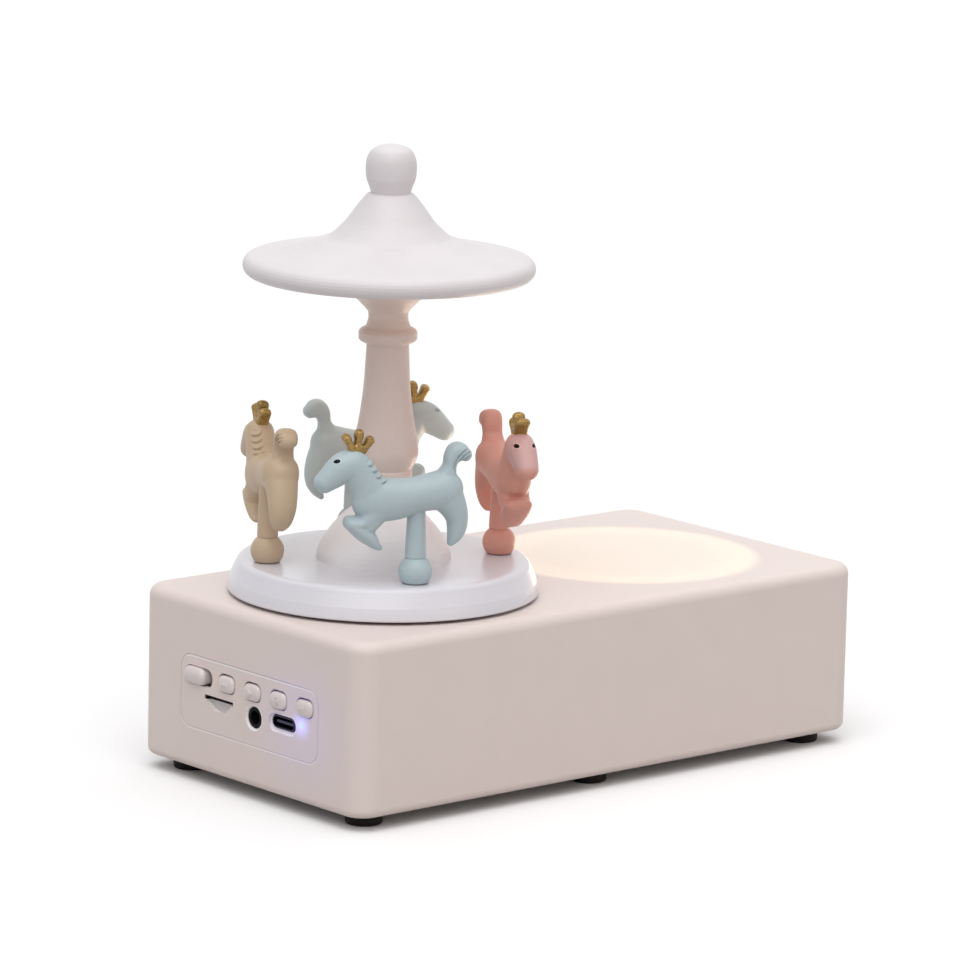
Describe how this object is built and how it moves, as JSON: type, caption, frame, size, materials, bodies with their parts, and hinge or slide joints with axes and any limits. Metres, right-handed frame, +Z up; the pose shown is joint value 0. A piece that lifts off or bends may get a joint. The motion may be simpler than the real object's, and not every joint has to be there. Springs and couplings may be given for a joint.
{
  "type": "carousel music box",
  "caption": "Flat speaker and night-light box with a motor-driven carousel of horses under a canopy, and a panel with a switch, buttons and sockets",
  "frame": {"origin": "on the surface that the feet stand on, below the middle of the base", "axes": "+X along the base, away from the control panel and towards the night light; +Y across the base; +Z up, along the carousel's axis"},
  "size_m": [0.1714, 0.09, 0.1645],
  "materials": {
    "white_shell": "satin",
    "white_gloss": "satin",
    "lavender_white": "satin",
    "cover_plastic": "matte",
    "foot_rubber": "matte",
    "sky_blue": "matte",
    "salmon_pink": "matte",
    "mist_grey": "matte",
    "cream": "matte",
    "antique_gold": "satin",
    "steel": "satin",
    "dark_steel": "satin",
    "brass": "satin",
    "gear_plastic": "satin",
    "black_plastic": "satin",
    "board_green": "satin",
    "cell_wrap": "gloss",
    "paper_cone": "matte",
    "magnet": "matte",
    "foam": "matte",
    "board_white": "satin",
    "led_yellow": "gloss",
    "led_blue": "gloss",
    "diffuser_opal": "satin"
  },
  "bodies": {
    "base": {"base_shell": "white_shell", "control_panel": "white_shell", "bottom_cover": "cover_plastic", "rubber_feet": "foot_rubber", "cover_screws": "steel", "main_board": "board_green", "board_chips": "black_plastic", "board_screws": "steel", "usb_c_socket": "steel", "audio_jack": "black_plastic", "card_socket": "steel", "status_led": "led_blue", "push_switches": "black_plastic", "slide_switch": "steel", "battery_cell": "cell_wrap", "speaker_gasket": "foam", "speaker_frame": "steel", "speaker_cone": "paper_cone", "speaker_magnet": "magnet", "light_board": "board_white", "light_leds": "led_yellow", "light_reflector": "white_gloss", "light_diffuser": "diffuser_opal", "motor_can": "steel", "gear_plate": "steel", "plate_screws": "steel", "idler_pin": "steel", "idler_clip": "dark_steel", "turntable_bush": "gear_plastic", "thrust_washer": "gear_plastic"},
    "carousel": {"turntable": "lavender_white", "centre_dome": "white_gloss", "pillar": "white_gloss", "canopy": "white_gloss", "canopy_underplate": "white_gloss", "finial": "white_gloss", "drive_shaft": "steel", "drive_gear": "gear_plastic", "shaft_clip": "dark_steel", "horse_front": "sky_blue", "horse_right": "salmon_pink", "horse_back": "mist_grey", "horse_left": "cream", "post_front": "sky_blue", "post_right": "salmon_pink", "post_back": "mist_grey", "post_left": "cream", "crown_front": "antique_gold", "crown_right": "antique_gold", "crown_back": "antique_gold", "crown_left": "antique_gold"},
    "idler": {"idler_gear": "gear_plastic"},
    "motor_drive": {"motor_pinion": "brass", "motor_shaft": "steel"},
    "power_switch": {"switch_knob": "white_gloss"},
    "minus_key": {"minus_button": "white_gloss"},
    "play_key": {"play_button": "white_gloss"},
    "plus_key": {"plus_button": "white_gloss"},
    "light_key": {"light_button": "white_gloss"}
  },
  "joints": [
    {"name": "carousel_spin", "type": "hinge", "parent": "base", "child": "carousel", "pos_m": [-0.041, 0, 0.05], "axis": [0, 0, 1], "continuous": true},
    {"name": "idler_spin", "type": "hinge", "parent": "base", "child": "idler", "pos_m": [-0.0296, -0.01975, 0.03], "axis": [0, 0, 1], "continuous": true},
    {"name": "motor_spin", "type": "hinge", "parent": "base", "child": "motor_drive", "pos_m": [-0.0128, -0.01975, 0.025], "axis": [0, 0, 1], "continuous": true},
    {"name": "power_slide", "type": "slide", "parent": "base", "child": "power_switch", "axis": [0, -1, 0], "range_m": [0, 0.0025]},
    {"name": "minus_press", "type": "slide", "parent": "base", "child": "minus_key", "axis": [1, 0, 0], "range_m": [0, 0.0005], "stiffness_N_per_m": 400, "springref_m": -0.0004},
    {"name": "play_press", "type": "slide", "parent": "base", "child": "play_key", "axis": [1, 0, 0], "range_m": [0, 0.0005], "stiffness_N_per_m": 400, "springref_m": -0.0004},
    {"name": "plus_press", "type": "slide", "parent": "base", "child": "plus_key", "axis": [1, 0, 0], "range_m": [0, 0.0005], "stiffness_N_per_m": 400, "springref_m": -0.0004},
    {"name": "light_press", "type": "slide", "parent": "base", "child": "light_key", "axis": [1, 0, 0], "range_m": [0, 0.0005], "stiffness_N_per_m": 400, "springref_m": -0.0004}
  ],
  "couplings": [
    {"joint": "idler_spin", "follows": "carousel_spin", "ratio": -3.75},
    {"joint": "motor_spin", "follows": "carousel_spin", "ratio": 9.375}
  ]
}
